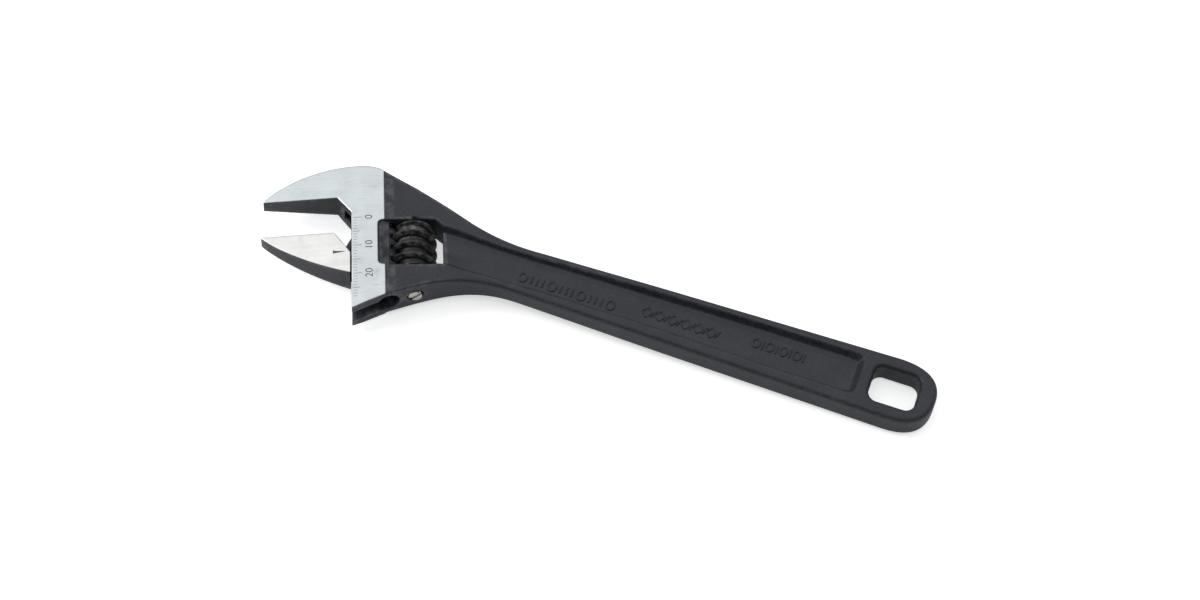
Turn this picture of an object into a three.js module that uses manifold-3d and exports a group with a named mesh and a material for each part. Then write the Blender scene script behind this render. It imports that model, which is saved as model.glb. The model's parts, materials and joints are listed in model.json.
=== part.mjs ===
// Adjustable wrench, nominal 200 mm, with a head set at an angle to its handle.
// Millimetres, +Z up. The wrench lies flat: +X runs along the handle, away from the jaws.
//
// Two drawing frames share the mid-plane z = 0:
//   handle frame  x along the handle's centre line, y across it towards the fixed jaw's back
//   head frame    the handle frame turned by -HEAD_ANGLE; x = 0 is the head's flat front, on which
//                 the movable jaw slides, and the jaw opens towards -y
// They meet where the handle's centre line crosses the head's front.

import * as THREE from 'three';
import * as BufferGeometryUtils from 'three/addons/utils/BufferGeometryUtils.js';
import Module from 'manifold-3d';

const wasm = await Module();
wasm.setup();

// ---- driving dimensions ----------------------------------------------------------------------

const HEAD_ANGLE = THREE.MathUtils.degToRad(22);
const GAP = 0.3;                    // clearance between pieces that slide or turn on each other

// jaws
const OPENING = 12.5;               // distance between the jaw faces as modelled
const TRAVEL = 12.5;                // how far the movable jaw slides to either side of that
const FIXED_FACE_Y = 4.3;
const FIXED_TIP_X = -26.6;
const MOVABLE_TIP_X = -27;
const MOVABLE_FACE_Y = FIXED_FACE_Y - OPENING;
const TIP_HALF_THICKNESS = 2.25;

// head
const HEAD_HALF_THICKNESS = 5.6;    // over the ground side faces
const SHOULDER_HALF_THICKNESS = 5.3;
const GROUND_EDGE_X = 9.95;         // where the ground side faces stop
const TAPER_START_X = 3.7;          // the jaws grow thinner from here to their tips
const HEAD_CORNER_Y = -35.4;        // the front's lower end
const RELIEF_LEFT = 7.9;            // hollow for the thumb beside the worm
const RELIEF_HALF_THICKNESS = 4.3;

// handle
const HANDLE_HALF_THICKNESS = 4;
const HANDLE_END_X = 183.5;
const HANDLE_END_TOP_Y = 9.8;       // edges of the handle where its round end begins
const HANDLE_END_BOTTOM_Y = -11.7;
const WAIST_X = 58;
const WAIST_TOP_Y = 7.2;
const WAIST_BOTTOM_Y = -9.2;
const WAIST_HALF_THICKNESS = 3.55;
const WEB_HALF_THICKNESS = 1.65;    // between the handle's rims
const WEB_START_HALF_THICKNESS = 2.7; // beside the worm's window
const RECESS_END_X = 159.3;
const HOLE_LEFT = 163.9;            // the hanging hole
const HOLE_RIGHT = 177.9;
const HOLE_TOP_Y = 5.3;
const HOLE_BOTTOM_Y = -7.1;
const HOLE_CORNER_RADIUS = 3.4;

// worm, its window and its pin
const PITCH = 4;
const WORM_RADIUS = 6.9;
const WORM_ROOT_RADIUS = 4.7;
const WORM_X = 18.7;
const WINDOW_LEFT = 11.4;
const WINDOW_RIGHT = 27.4;
const WINDOW_TOP = -4.3;
const WINDOW_BOTTOM = -20;
const WINDOW_CORNER = 2.2;          // size of its slanted corner
const PIN_RADIUS = 1.75;
const PIN_HEAD_RADIUS = 2.1;
const PIN_HEAD_Y = -28.7;           // outer face of the slotted head
const PIN_HEAD_HEIGHT = 1.9;
const PIN_TIP_Y = 0.6;

// rail of the movable jaw and the keyhole it runs in
const RAIL_X = 10.5;
const RAIL_RADIUS = 3.2;
const RAIL_TOP_Y = -3;
const RAIL_BOTTOM_Y = -22;
const NECK_HALF_THICKNESS = 1.9;

// cutters and blanks reach these distances, clear of the wrench
const LOWEST_Y = -60;
const CLEAR_HEIGHT = 10;
const CLEAR_LENGTH = 250;

const BLACK_STEEL = { color: 0x35383c, roughness: 0.55, metalness: 0.6 };
const GROUND_STEEL = { color: 0xc9ccca, roughness: 0.38, metalness: 0.85 };
const DARK_STEEL = { color: 0x26272a, roughness: 0.5, metalness: 0.6 };
const NICKEL = { color: 0xd8d4c8, roughness: 0.3, metalness: 0.95 };
const SPRING_STEEL = { color: 0x8d9094, roughness: 0.4, metalness: 0.9 };

// ---- helpers ---------------------------------------------------------------------------------

function solid(geometry) {
  geometry.deleteAttribute('normal');
  geometry.deleteAttribute('uv');
  const merged = BufferGeometryUtils.mergeVertices(geometry, 1e-5);
  return new wasm.Manifold(new wasm.Mesh({
    numProp: 3,
    vertProperties: new Float32Array(merged.attributes.position.array),
    triVerts: new Uint32Array(merged.index.array),
  }));
}

function mesh(name, body, finish) {
  const { vertProperties, triVerts } = body.getMesh();
  const geometry = new THREE.BufferGeometry();
  geometry.setAttribute('position', new THREE.BufferAttribute(vertProperties, 3));
  geometry.setIndex(new THREE.BufferAttribute(triVerts, 1));
  geometry.computeVertexNormals();
  const result = new THREE.Mesh(geometry, new THREE.MeshStandardMaterial(finish));
  result.name = name;
  return result;
}

const points = (list) => list.map(([x, y]) => new THREE.Vector2(x, y));

// a point of the head frame, given in the handle frame
function fromHead(x, y) {
  return new THREE.Vector2(x, y).rotateAround(new THREE.Vector2(), HEAD_ANGLE);
}

// an outline extruded between two heights
function plate(shape, zLow, zHigh, curveSegments = 12) {
  const geometry = new THREE.ExtrudeGeometry(shape, {
    depth: zHigh - zLow, bevelEnabled: false, curveSegments,
  });
  return geometry.translate(0, 0, zLow);
}

// a symmetric thickness profile, given as [x, half thickness] pairs, extruded across the wrench
function slab(profile) {
  const upper = points(profile);
  const lower = profile.map(([x, halfThickness]) => new THREE.Vector2(x, -halfThickness)).reverse();
  const geometry = plate(new THREE.Shape([...upper, ...lower]), -CLEAR_LENGTH, CLEAR_LENGTH);
  return geometry.rotateX(Math.PI / 2);
}

// a round bar along the head frame's y
function bar(radius, yLow, yHigh, x, segments = 32) {
  return new THREE.CylinderGeometry(radius, radius, yHigh - yLow, segments)
    .translate(x, (yLow + yHigh) / 2, 0);
}

function onHandle(geometry) {
  return geometry.rotateZ(HEAD_ANGLE);
}

// an outline cut right through
function through(shape) {
  return plate(shape, -CLEAR_HEIGHT, CLEAR_HEIGHT);
}

// an outline cut into each face, down to a height above the mid-plane
function bothFaces(shape, floor) {
  return [plate(shape, floor, CLEAR_HEIGHT), plate(shape.clone(), -CLEAR_HEIGHT, -floor)];
}

function roundedRectangle(left, bottom, right, top, radius) {
  const shape = new THREE.Shape();
  shape.absarc(right - radius, top - radius, radius, 0, Math.PI / 2);
  shape.absarc(left + radius, top - radius, radius, Math.PI / 2, Math.PI);
  shape.absarc(left + radius, bottom + radius, radius, Math.PI, 1.5 * Math.PI);
  shape.absarc(right - radius, bottom + radius, radius, 1.5 * Math.PI, 2 * Math.PI);
  return shape;
}

// ---- the forging: handle, head and fixed jaw in one piece -----------------------------------------

function forgingOutline() {
  const shape = new THREE.Shape();
  const move = (to) => shape.moveTo(to.x, to.y);
  const line = (to) => shape.lineTo(to.x, to.y);
  const curve = (a, b, to) => shape.bezierCurveTo(a.x, a.y, b.x, b.y, to.x, to.y);
  const at = (x, y) => new THREE.Vector2(x, y);

  // front of the head and its slanted lower edge, down to the handle's waist
  move(fromHead(0, HEAD_CORNER_Y));
  line(at(20.7, -25));
  curve(at(33, -14.6), at(41, -8.9), at(WAIST_X - 2, WAIST_BOTTOM_Y));
  // lower edge of the handle, its rounded end and the upper edge
  line(at(70, -9.5));
  line(at(170.5, HANDLE_END_BOTTOM_Y));
  curve(at(179.5, -11.9), at(HANDLE_END_X, -8), at(HANDLE_END_X, -0.5));
  curve(at(HANDLE_END_X, 6.6), at(178.5, 9.9), at(169.5, HANDLE_END_TOP_Y));
  line(at(WAIST_X + 2, WAIST_TOP_Y));
  // shoulder and back of the fixed jaw, its tip, its gripping face and the throat
  curve(at(50, 6.6), at(42, 7.1), at(34.8, 8.95));
  line(at(16, 14.1));
  line(fromHead(12.5, 12.3));
  curve(fromHead(9.5, 14.6), fromHead(7, 15.6), fromHead(2.5, 15.6));
  curve(fromHead(-10.5, 15.9), fromHead(-21, 10.2), fromHead(-26, 5.2));
  line(fromHead(FIXED_TIP_X, FIXED_FACE_Y));
  line(fromHead(-4.2, FIXED_FACE_Y));
  line(fromHead(0, -1.2));
  return shape;
}

// the keyhole that guides the jaw: a bore along the head with a slot out through its front
function keyhole() {
  const roof = RAIL_TOP_Y + TRAVEL + GAP;
  const bore = bar(RAIL_RADIUS + GAP, LOWEST_Y, roof, RAIL_X);
  const slot = new THREE.Shape(points([
    [-2.4, LOWEST_Y], [RAIL_X, LOWEST_Y], [RAIL_X, roof], [6, roof], [0, 4.6], [-2.4, 0.6],
  ]));
  const halfWidth = NECK_HALF_THICKNESS + GAP;
  return solid(bore).add(solid(plate(slot, -halfWidth, halfWidth)));
}

function wormWindow() {
  return new THREE.Shape(points([
    [WINDOW_LEFT, WINDOW_BOTTOM], [WINDOW_RIGHT, WINDOW_BOTTOM],
    [WINDOW_RIGHT, WINDOW_TOP - WINDOW_CORNER], [WINDOW_RIGHT - WINDOW_CORNER, WINDOW_TOP],
    [WINDOW_LEFT, WINDOW_TOP],
  ]));
}

// hollow on each face between the handle's two rims, open to the worm's window, over a web that
// grows thinner away from the head
function handleRecess() {
  const end = RECESS_END_X;
  const radius = 2;
  const top = 6.1;
  const bottom = -7;
  const shape = new THREE.Shape(points([
    [26.5, -7.6], [37.7, -7.7], [44, -7], [50, -6.5], [60, -6.2], [94, -6.1], [113, -6.5],
    [131, -6.9], [end - radius, bottom],
  ]));
  shape.quadraticCurveTo(end, bottom, end, bottom + radius);
  shape.lineTo(end, top - radius);
  shape.quadraticCurveTo(end, top, end - radius, top);
  for (const [x, y] of [[109, 5.65], [90, 5.2], [65, 4.65], [52.4, 4.05], [46, 3.7], [26.5, 3.8]]) {
    shape.lineTo(x, y);
  }
  const web = slab([
    [0, WEB_START_HALF_THICKNESS], [33, WEB_START_HALF_THICKNESS], [46, 2.2],
    [WAIST_X, WEB_HALF_THICKNESS], [CLEAR_LENGTH, WEB_HALF_THICKNESS],
  ]);
  return solid(through(shape)).subtract(solid(web));
}

function handleAndFixedJaw() {
  const taperSlope = (HEAD_HALF_THICKNESS - TIP_HALF_THICKNESS) / (TAPER_START_X - FIXED_TIP_X);
  const farX = FIXED_TIP_X - 10;
  const headSlab = slab([
    [farX, TIP_HALF_THICKNESS - 10 * taperSlope], [TAPER_START_X, HEAD_HALF_THICKNESS],
    [GROUND_EDGE_X, HEAD_HALF_THICKNESS], [GROUND_EDGE_X, SHOULDER_HALF_THICKNESS],
    [CLEAR_LENGTH, SHOULDER_HALF_THICKNESS],
  ]);
  const handleSlab = slab([
    [-CLEAR_LENGTH, HEAD_HALF_THICKNESS], [24, HEAD_HALF_THICKNESS], [34, 4.8], [46, 4],
    [WAIST_X, WAIST_HALF_THICKNESS], [100, HANDLE_HALF_THICKNESS],
    [CLEAR_LENGTH, HANDLE_HALF_THICKNESS],
  ]);
  let forging = solid(plate(forgingOutline(), -CLEAR_HEIGHT, CLEAR_HEIGHT, 24))
    .intersect(solid(onHandle(headSlab)))
    .intersect(solid(handleSlab));

  const thumbRelief = roundedRectangle(
    RELIEF_LEFT, WINDOW_BOTTOM - 0.2, WINDOW_RIGHT - 2, WINDOW_TOP, 1.5,
  );
  const pinHole = bar(PIN_RADIUS + GAP, LOWEST_Y, PIN_TIP_Y + GAP, WORM_X);
  const headSeat = bar(PIN_HEAD_RADIUS + GAP, LOWEST_Y, PIN_HEAD_Y + PIN_HEAD_HEIGHT + GAP, WORM_X);
  const hangingHole = roundedRectangle(
    HOLE_LEFT, HOLE_BOTTOM_Y, HOLE_RIGHT, HOLE_TOP_Y, HOLE_CORNER_RADIUS,
  );
  const headCuts = [
    through(wormWindow()), ...bothFaces(thumbRelief, RELIEF_HALF_THICKNESS), pinHole, headSeat,
  ];
  for (const cut of headCuts) forging = forging.subtract(solid(onHandle(cut)));
  forging = forging
    .subtract(keyhole().rotate(0, 0, THREE.MathUtils.radToDeg(HEAD_ANGLE)))
    .subtract(handleRecess())
    .subtract(solid(through(hangingHole)));
  return mesh('handle_and_fixed_jaw', forging, BLACK_STEEL);
}

// ---- the movable jaw: jaw, neck and round rail with rack teeth --------------------------------

function rackGrooves() {
  // straight grooves across the back of the rail, set at the thread's lead angle
  const rootX = WORM_X - WORM_RADIUS - GAP;
  const crestX = RAIL_X + RAIL_RADIUS;
  const rootHalfWidth = 0.8;
  const crestHalfWidth = 1.35;
  const flank = (crestHalfWidth - rootHalfWidth) / (crestX - rootX);
  const outerX = crestX + 1;
  const outerHalfWidth = crestHalfWidth + flank;
  const groove = new THREE.Shape(points([
    [rootX, -rootHalfWidth], [outerX, -outerHalfWidth], [outerX, outerHalfWidth],
    [rootX, rootHalfWidth],
  ]));
  const lead = Math.atan(PITCH / (2 * Math.PI * (WORM_RADIUS + WORM_ROOT_RADIUS) / 2));
  const middle = (WINDOW_TOP + WINDOW_BOTTOM) / 2;
  const grooves = [];
  for (let count = -3; count <= 3; count += 1) {
    const y = middle + count * PITCH;
    if (y + crestHalfWidth > RAIL_TOP_Y + PITCH || y < RAIL_BOTTOM_Y - PITCH / 2) continue;
    grooves.push(solid(through(groove.clone()).rotateX(lead).translate(0, y, 0)));
  }
  return grooves;
}

function movableJaw() {
  const outline = new THREE.Shape();
  outline.moveTo(-GAP, -15.4);
  outline.lineTo(-5, MOVABLE_FACE_Y);
  outline.lineTo(MOVABLE_TIP_X, MOVABLE_FACE_Y);
  outline.lineTo(MOVABLE_TIP_X + 0.1, MOVABLE_FACE_Y - 0.5);
  outline.bezierCurveTo(-21.5, -13.8, -11, -19.4, -GAP, -22.7);
  const rootHalfThickness = 4.9;
  const slope = (rootHalfThickness - TIP_HALF_THICKNESS) / -MOVABLE_TIP_X;
  const farX = MOVABLE_TIP_X - 10;
  const jaw = solid(through(outline)).intersect(solid(slab([
    [farX, TIP_HALF_THICKNESS - 10 * slope], [10, rootHalfThickness + 10 * slope],
  ])));

  const neck = new THREE.Shape(points([
    [-3, -13.9], [0, -8.4], [5.9, RAIL_TOP_Y], [RAIL_X, RAIL_TOP_Y],
    [RAIL_X, RAIL_BOTTOM_Y], [-3, RAIL_BOTTOM_Y + 0.4],
  ]));
  let piece = jaw
    .add(solid(plate(neck, -NECK_HALF_THICKNESS, NECK_HALF_THICKNESS)))
    .add(solid(bar(RAIL_RADIUS, RAIL_BOTTOM_Y, RAIL_TOP_Y, RAIL_X)));
  for (const groove of rackGrooves()) piece = piece.subtract(groove);
  return mesh('movable_jaw', piece, GROUND_STEEL);
}

// ---- the worm: a left-hand single-start thread on a bored core ------------------------------------

// the thread's ridge, swept as a closed helical bar about y
function threadRidge(turns) {
  const stepsPerTurn = WORM_SEGMENTS;
  const steps = turns * stepsPerTurn;
  const foot = WORM_ROOT_RADIUS - 0.5;
  const crest = WORM_RADIUS + 0.5;
  const section = [[foot, -1.27], [crest, -0.12], [crest, 0.12], [foot, 1.27]];
  const positions = [];
  const index = [];
  for (let step = 0; step <= steps; step += 1) {
    const turn = step / stepsPerTurn - turns / 2;
    const angle = 2 * Math.PI * turn;
    for (const [radius, offset] of section) {
      // angle 0 points at the rail, along -x; the ridge falls as the angle grows, as a left-hand thread
      positions.push(-radius * Math.cos(angle), offset - PITCH * turn, radius * Math.sin(angle));
    }
  }
  const corners = section.length;
  for (let step = 0; step < steps; step += 1) {
    for (let side = 0; side < corners; side += 1) {
      const a = step * corners + side;
      const b = step * corners + ((side + 1) % corners);
      index.push(a, b + corners, b, a, a + corners, b + corners);
    }
  }
  const last = steps * corners;
  index.push(0, 2, 3, 0, 1, 2);
  index.push(last, last + 2, last + 1, last, last + 3, last + 2);
  const geometry = new THREE.BufferGeometry();
  geometry.setAttribute('position', new THREE.Float32BufferAttribute(positions, 3));
  geometry.setIndex(index);
  return geometry;
}

const WORM_HALF_LENGTH = (WINDOW_TOP - WINDOW_BOTTOM) / 2 - GAP;
const WORM_Y = (WINDOW_TOP + WINDOW_BOTTOM) / 2;
const SPRING_SEAT_DEPTH = 5.4;
const SPRING_SEAT_RADIUS = 3.4;
const WORM_SEGMENTS = 32;

function adjustingWorm() {
  const chamfer = 1.6;
  const end = WORM_HALF_LENGTH;
  const envelope = new THREE.LatheGeometry(points([
    [0, -end], [WORM_RADIUS - chamfer, -end], [WORM_RADIUS, -end + chamfer],
    [WORM_RADIUS, end - chamfer], [WORM_RADIUS - chamfer, end], [0, end],
  ]), WORM_SEGMENTS);
  const ridge = threadRidge(6);
  const worm = solid(bar(WORM_ROOT_RADIUS, -end, end, 0, WORM_SEGMENTS))
    .add(solid(ridge))
    .intersect(solid(envelope))
    .subtract(solid(bar(PIN_RADIUS + GAP, -end - 5, end + 5, 0)))
    .subtract(solid(bar(SPRING_SEAT_RADIUS, end - SPRING_SEAT_DEPTH, end + 5, 0)));
  const result = mesh('adjusting_worm', worm, DARK_STEEL);
  result.position.set(WORM_X, WORM_Y, 0);
  return result;
}

// ---- the worm's pin: a slotted head, a screwed stretch and a plain shank ----------------------

function wormPin() {
  const headTop = PIN_HEAD_Y + PIN_HEAD_HEIGHT;
  const slotWidth = 0.9;
  const slotDepth = 0.8;
  const slot = new THREE.BoxGeometry(slotWidth, 2 * slotDepth, 4 * PIN_HEAD_RADIUS)
    .rotateY(-Math.PI / 4)
    .translate(WORM_X, PIN_HEAD_Y, 0);
  const pin = solid(bar(PIN_HEAD_RADIUS, PIN_HEAD_Y, headTop, WORM_X))
    .add(solid(bar(PIN_RADIUS, headTop - 0.5, PIN_TIP_Y, WORM_X)))
    .subtract(solid(slot));
  return mesh('worm_pin', pin, NICKEL);
}

// ---- the worm's spring, coiled round the pin in the worm's counterbore ------------------------

class Helix extends THREE.Curve {
  constructor(radius, rise, turns) {
    super();
    Object.assign(this, { radius, rise, turns });
  }

  getPoint(t, target = new THREE.Vector3()) {
    const angle = 2 * Math.PI * this.turns * t;
    return target.set(this.radius * Math.cos(angle), this.rise * t, this.radius * Math.sin(angle));
  }
}

function wormSpring() {
  const wireRadius = 0.33;
  const turns = 4;
  const seatFloor = WORM_Y + WORM_HALF_LENGTH - SPRING_SEAT_DEPTH;
  const low = seatFloor + GAP + wireRadius;
  const high = WINDOW_TOP - GAP - wireRadius;
  const wire = new THREE.Shape();
  wire.absarc(0, 0, wireRadius, 0, 2 * Math.PI);
  const geometry = new THREE.ExtrudeGeometry(wire, {
    steps: turns * 18, curveSegments: 8, bevelEnabled: false,
    extrudePath: new Helix(2.85, high - low, turns),
  });
  return mesh('worm_spring', solid(geometry.translate(WORM_X, low, 0)), SPRING_STEEL);
}

// ---- assembly -------------------------------------------------------------------------------------

const head = new THREE.Group();
head.rotation.z = HEAD_ANGLE;
head.add(movableJaw(), adjustingWorm(), wormPin(), wormSpring());

const group = new THREE.Group();
group.add(handleAndFixedJaw(), head);

// the origin lies at the middle of the wrench's underside, at the height of its lowest point
group.updateMatrixWorld(true);
const box = new THREE.Box3().setFromObject(group, true);
const middle = box.getCenter(new THREE.Vector3());
group.position.set(-middle.x, -middle.y, -box.min.z);
group.updateMatrixWorld(true);

export default group;
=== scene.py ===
"""Adjustable wrench, nominal 200 mm, with an opening scale ground into its head.

The metal pieces are forgings and turned parts, whose faces run into each other through rounded edges.
Each is described here by a distance field in millimetres, negative inside the metal, and skinned into
a mesh. The fields use the head's own axes: x = 0 is the head's flat front, the jaw opens towards -y,
and z = 0 is the wrench's mid-plane. The handle's axes are the same ones turned by the head's angle.
"""

import json
import math

import bpy
import numpy as np
from mathutils import Matrix, Vector


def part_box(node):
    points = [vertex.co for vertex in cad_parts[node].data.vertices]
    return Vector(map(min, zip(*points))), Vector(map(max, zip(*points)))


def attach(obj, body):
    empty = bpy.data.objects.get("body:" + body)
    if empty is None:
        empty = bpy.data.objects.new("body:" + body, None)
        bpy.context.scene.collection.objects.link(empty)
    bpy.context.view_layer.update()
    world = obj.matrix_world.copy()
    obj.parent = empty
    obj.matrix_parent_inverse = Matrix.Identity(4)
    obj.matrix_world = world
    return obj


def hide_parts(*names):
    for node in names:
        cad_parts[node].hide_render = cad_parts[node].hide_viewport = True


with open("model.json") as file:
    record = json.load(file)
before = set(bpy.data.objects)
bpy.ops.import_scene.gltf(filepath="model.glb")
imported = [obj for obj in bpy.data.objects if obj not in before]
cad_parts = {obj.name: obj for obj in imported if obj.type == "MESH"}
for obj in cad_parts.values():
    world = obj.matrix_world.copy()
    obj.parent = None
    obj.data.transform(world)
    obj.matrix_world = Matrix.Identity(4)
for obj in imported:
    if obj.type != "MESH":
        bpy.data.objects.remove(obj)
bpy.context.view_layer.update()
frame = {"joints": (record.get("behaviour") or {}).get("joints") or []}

MM = 0.001

# ---- the wrench's axes, from the frame ---------------------------------------------------------

WORM_X = 18.7
WORM_Y = -12.15
turn_joint = next(joint for joint in frame["joints"] if joint["name"] == "worm_turn")
HEAD_Y_AXIS = -np.array(turn_joint["axis"])
HEAD_Y_AXIS /= np.linalg.norm(HEAD_Y_AXIS)
HEAD_X_AXIS = np.array([HEAD_Y_AXIS[1], -HEAD_Y_AXIS[0], 0.0])
HEAD_ORIGIN = np.array(turn_joint["pos_m"]) - MM * (WORM_X * HEAD_X_AXIS + WORM_Y * HEAD_Y_AXIS)
HEAD_ANGLE = math.atan2(HEAD_X_AXIS[1], HEAD_X_AXIS[0])
COS, SIN = math.cos(HEAD_ANGLE), math.sin(HEAD_ANGLE)


def to_handle(x, y):
    """Head coordinates into handle coordinates."""
    return x * COS - y * SIN, x * SIN + y * COS


def to_head(x, y):
    """Handle coordinates into head coordinates."""
    return x * COS + y * SIN, y * COS - x * SIN


def place(points):
    """Head coordinates in millimetres into the frame's metres."""
    points = np.asarray(points, float)
    return HEAD_ORIGIN + MM * (
        points[:, :1] * HEAD_X_AXIS + points[:, 1:2] * HEAD_Y_AXIS + points[:, 2:] * (0, 0, 1)
    )


# ---- dimensions in millimetres, the same ones as the CAD pieces have ---------------------------

GAP = 0.3
FIXED_FACE_Y = 4.3
MOVABLE_FACE_Y = -8.2
TIP_HALF_THICKNESS = 2.25
JAW_ROOT_HALF_THICKNESS = 4.9
JAW_SLOPE = (JAW_ROOT_HALF_THICKNESS - TIP_HALF_THICKNESS) / 27
HEAD_HALF_THICKNESS = 5.6
SHOULDER_HALF_THICKNESS = 5.3
GROUND_EDGE_X = 9.95
TAPER_START_X = 3.7
TAPER_SLOPE = 0.1106
HANDLE_HALF_THICKNESS = 4.0
WAIST_HALF_THICKNESS = 3.55
WEB_HALF_THICKNESS = 1.65
HANDLE_END_X = 183.5
RECESS_END_X = 160.3
WINDOW = dict(left=11.4, right=27.4, top=-4.3, bottom=-20.0, corner=2.2)
RELIEF_LEFT = 7.9
RELIEF_FLOOR = 4.3
RELIEF_CORNER = 1.5
HOLE = dict(left=163.9, right=177.9, top=5.3, bottom=-7.1, corner=3.0)
HOLE_RIM_RADIUS = 1.3
RAIL_X = 10.5
RAIL_RADIUS = 3.2
RAIL_TOP_Y = -3.0
RAIL_BOTTOM_Y = -22.0
RACK_MIDDLE_Y = -11.8
RACK_HALF_LENGTH = 10.2
KEYHOLE_ROOF_Y = 9.8
NECK_HALF_THICKNESS = 1.9
PIN_RADIUS = 1.75
PIN_HEAD_RADIUS = 2.1
PIN_HEAD_Y = -28.7
PIN_HEAD_HEIGHT = 1.9
PIN_TIP_Y = 0.6
PIN_THREAD_PITCH = 0.7
PIN_THREAD_DEPTH = 0.14
SCREWED_END_Y = -20.6
PITCH = 4.0
WORM_RADIUS = 6.9
WORM_ROOT_RADIUS = 4.7
WORM_HALF_LENGTH = 7.55
WORM_END_CHAMFER = 1.6
KNURL_COUNT = 56
KNURL_DEPTH = 0.09
SPRING_SEAT_DEPTH = 5.4
SPRING_SEAT_RADIUS = 3.4
SPRING_RADIUS = 2.85
SPRING_TURNS = 4
WIRE_RADIUS = 0.33


# ---- outlines ----------------------------------------------------------------------------------


class Outline:
    """A closed outline drawn with lines and cubic curves."""

    def __init__(self, start):
        self.points = [start]

    def line(self, *points):
        self.points += points
        return self

    def curve(self, first_handle, second_handle, end, steps=20):
        a, b, c, d = (np.array(p, float) for p in (self.points[-1], first_handle, second_handle, end))
        for t in np.arange(1, steps + 1) / steps:
            s = 1 - t
            self.points.append(tuple(s**3 * a + 3 * s * s * t * b + 3 * s * t * t * c + t**3 * d))
        return self

    def distance(self, x, y):
        """Distance to the outline, negative inside it."""
        x, y = np.broadcast_arrays(x, y)
        nearest = np.full(x.shape, np.inf)
        inside = np.zeros(x.shape, bool)
        for (ax, ay), (bx, by) in zip(self.points, self.points[1:] + self.points[:1]):
            along_x, along_y = bx - ax, by - ay
            from_x, from_y = x - ax, y - ay
            length_squared = along_x**2 + along_y**2
            if length_squared == 0:
                continue
            t = np.clip((from_x * along_x + from_y * along_y) / length_squared, 0, 1)
            nearest = np.minimum(nearest, (from_x - along_x * t) ** 2 + (from_y - along_y * t) ** 2)
            if ay != by:
                spans = (ay <= y) != (by <= y)
                inside ^= spans & (x < ax + from_y * along_x / along_y)
        return np.where(inside, -1, 1) * np.sqrt(nearest)


def rectangle(x, y, left, bottom, right, top, radius):
    """Distance to a rectangle with round corners, negative inside it."""
    across = np.abs(x - (left + right) / 2) - (right - left) / 2 + radius
    along = np.abs(y - (bottom + top) / 2) - (top - bottom) / 2 + radius
    outside = np.hypot(np.maximum(across, 0), np.maximum(along, 0))
    return outside + np.minimum(np.maximum(across, along), 0) - radius


def forging_outline():
    """Handle, head and fixed jaw, in handle coordinates."""
    head = to_handle
    end = HANDLE_END_X
    shape = Outline(head(0, -35.4))
    shape.line((20.7, -25))
    shape.curve((33, -14.6), (41, -8.9), (56, -9.2))
    shape.line((70, -9.5), (170.5, -11.7))
    shape.curve((179.5, -11.9), (end, -8), (end, -0.5))
    shape.curve((end, 6.6), (178.5, 9.9), (169.5, 9.8))
    shape.line((60, 7.2))
    shape.curve((50, 6.6), (42, 7.1), (34.8, 8.95))
    shape.line((16, 14.1), head(12.5, 12.3))
    shape.curve(head(9.5, 14.6), head(7, 15.6), head(2.5, 15.6))
    shape.curve(head(-10.5, 15.9), head(-21, 10.2), head(-26, 5.2))
    shape.line(head(-26.6, FIXED_FACE_Y), head(-4.2, FIXED_FACE_Y), head(0, -1.2))
    return shape


def recess_outline():
    """The hollow between the handle's rims at the rims' level, in handle coordinates."""
    end, corner = RECESS_END_X, 2.6
    shape = Outline((18, 4.2))
    shape.line((27, 4.35), (33, 4.5))
    shape.curve((40, 4.25), (46, 4.1), (54, 4.65))
    shape.line((65, 5.15), (90, 5.7), (109, 6.15), (127, 6.4), (end - corner, 6.6))
    shape.curve((end - 1, 6.6), (end, 6), (end, 4.4), steps=8)
    shape.line((end, -5.2))
    shape.curve((end, -6.8), (end - 1, -7.5), (end - corner, -7.5), steps=8)
    shape.line((131, -7.4), (113, -7.0), (94, -6.6), (69, -6.6))
    shape.curve((58, -6.7), (48, -7.1), (38, -8.2))
    shape.line((20, -8.2))
    return shape


def jaw_outline():
    """The movable jaw outside the head, in head coordinates."""
    shape = Outline((-GAP, -15.4))
    shape.line((-5, MOVABLE_FACE_Y), (-27, MOVABLE_FACE_Y), (-26.9, MOVABLE_FACE_Y - 0.5))
    shape.curve((-21.5, -13.8), (-11, -19.4), (-GAP, -22.7))
    return shape


# ---- distance fields ---------------------------------------------------------------------------


def meet(a, b, radius=0.0):
    """What two solids have in common, with the edge between them rounded."""
    corner = np.hypot(np.maximum(a + radius, 0), np.maximum(b + radius, 0))
    return np.minimum(np.maximum(a, b), -radius) + corner


def join(a, b, radius=0.0):
    """Two solids together, with a fillet between them."""
    return -meet(-a, -b, radius)


def cut(a, b, radius=0.0):
    """The first solid without the second, with the edge rounded."""
    return meet(a, -b, radius)


def ramp(value, start, end):
    """0 before start, 1 after end, and smooth between them."""
    t = np.clip((value - start) / (end - start), 0, 1)
    return t * t * (3 - 2 * t)


FORGING = forging_outline()
RECESS = recess_outline()
JAW = jaw_outline()
KEYHOLE_SLOT = Outline((-2.4, -60)).line((RAIL_X, -60), (RAIL_X, KEYHOLE_ROOF_Y))
KEYHOLE_SLOT.line((6, KEYHOLE_ROOF_Y), (0, 4.6), (-2.4, 0.6))
NECK = Outline((-3, -13.9)).line((0, -8.4), (5.9, RAIL_TOP_Y), (RAIL_X, RAIL_TOP_Y))
NECK.line((RAIL_X, RAIL_BOTTOM_Y), (-3, RAIL_BOTTOM_Y + 0.4))


def window_field(x, y):
    """The opening that the worm turns in, with one slanted corner."""
    box = rectangle(x, y, WINDOW["left"], WINDOW["bottom"], WINDOW["right"], WINDOW["top"], 0.5)
    slant = (x + y - (WINDOW["right"] + WINDOW["top"] - WINDOW["corner"])) / math.sqrt(2)
    return meet(box, slant, 0.5)


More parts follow.
